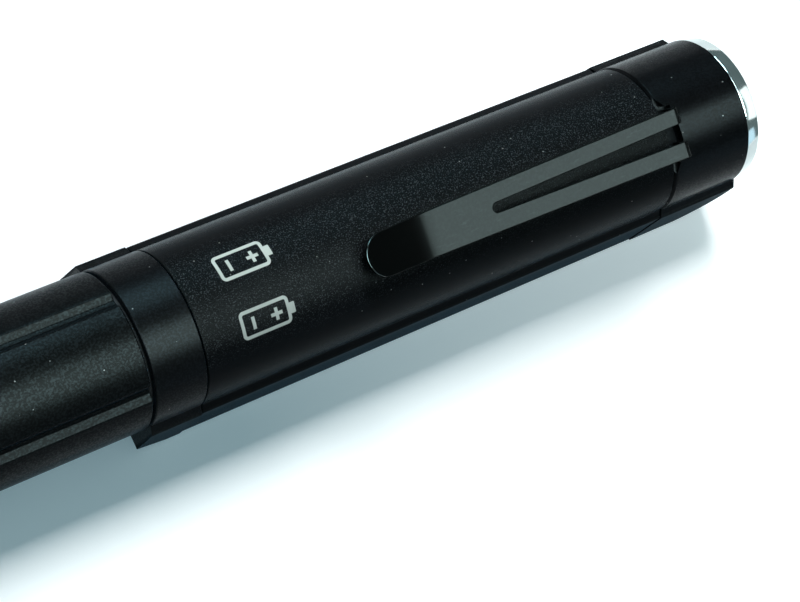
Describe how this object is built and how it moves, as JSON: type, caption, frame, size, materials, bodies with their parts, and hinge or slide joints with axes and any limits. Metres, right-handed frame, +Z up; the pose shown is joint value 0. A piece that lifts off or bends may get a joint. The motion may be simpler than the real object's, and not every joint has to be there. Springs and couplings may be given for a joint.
{
  "type": "pocket work light",
  "caption": "Pen-shaped work light: fluted screw-on battery handle, flat-sided head with a light strip window, spot lens in a bright nose ring, spring pocket clip and tail push button.",
  "frame": {"origin": "middle of the light's footprint, on the plane of the head's flat side", "axes": "+X along the barrel towards the spot light, +Z up towards the clip side, +Y across the head"},
  "size_m": [0.173, 0.0182, 0.0185],
  "materials": {
    "shell_black": "black, fine stipple",
    "satin_black": "black, smooth satin",
    "anodised_black": "black anodised, satin",
    "bright_ring": "polished",
    "clear_lens": "clear moulded",
    "reflector": "vacuum metallised",
    "phosphor": "yellow phosphor resin",
    "white_board": "white solder mask",
    "green_board": "green solder mask",
    "dark_plastic": "moulded",
    "contact_brass": "plated",
    "lead_insulation": "smooth",
    "clip_steel": "dark satin plated spring steel",
    "black_rubber": "smooth",
    "sleeve_plastic": "natural",
    "cell_can": "wrapped can",
    "spring_steel": "plated",
    "button_rubber": "fine matt"
  },
  "bodies": {
    "head": {"head_shell": "shell_black", "front_collar": "satin_black", "nose_cap": "satin_black", "bezel_ring": "bright_ring", "spot_lens": "clear_lens", "lens_seal": "black_rubber", "spot_reflector": "reflector", "spot_led": "phosphor", "spot_board": "white_board", "strip_window": "clear_lens", "strip_board": "white_board", "glow_strip": "phosphor", "driver_board": "green_board", "driver_parts": "dark_plastic", "contact_board": "green_board", "contact_pad": "contact_brass", "contact_leads": "lead_insulation", "strip_leads": "lead_insulation", "spot_leads": "lead_insulation"},
    "clip": {"pocket_clip": "clip_steel"},
    "seal": {"handle_seal": "black_rubber"},
    "handle": {"handle_tube": "anodised_black", "cell_sleeve": "sleeve_plastic", "front_cell": "cell_can", "rear_cell": "cell_can", "tail_cap": "satin_black", "contact_spring": "spring_steel", "switch_retainer": "spring_steel", "switch_body": "dark_plastic", "switch_spring": "spring_steel"},
    "button": {"tail_button": "button_rubber"}
  },
  "joints": [
    {"name": "handle_travel", "type": "slide", "parent": "head", "child": "seal", "axis": [-1, 0, 0], "range_m": [0, 0.007]},
    {"name": "handle_turn", "type": "hinge", "parent": "seal", "child": "handle", "pos_m": [0, 0, 0.0084], "axis": [-1, 0, 0], "range_deg": [0, 2520]},
    {"name": "clip_flex", "type": "hinge", "parent": "head", "child": "clip", "pos_m": [0.0752, -0.00214, 0.01699], "axis": [0, 0.9703, 0.2419], "range_deg": [0, 5], "stiffness_Nm_per_rad": 2.4, "springref_deg": -1.72},
    {"name": "button_press", "type": "slide", "parent": "handle", "child": "button", "axis": [1, 0, 0], "range_m": [0, 0.0015], "stiffness_N_per_m": 1500, "springref_m": -0.001, "deforming": ["switch_spring"]}
  ],
  "couplings": [
    {"joint": "handle_turn", "follows": "handle_travel", "rad_per_m": 6283.2}
  ]
}
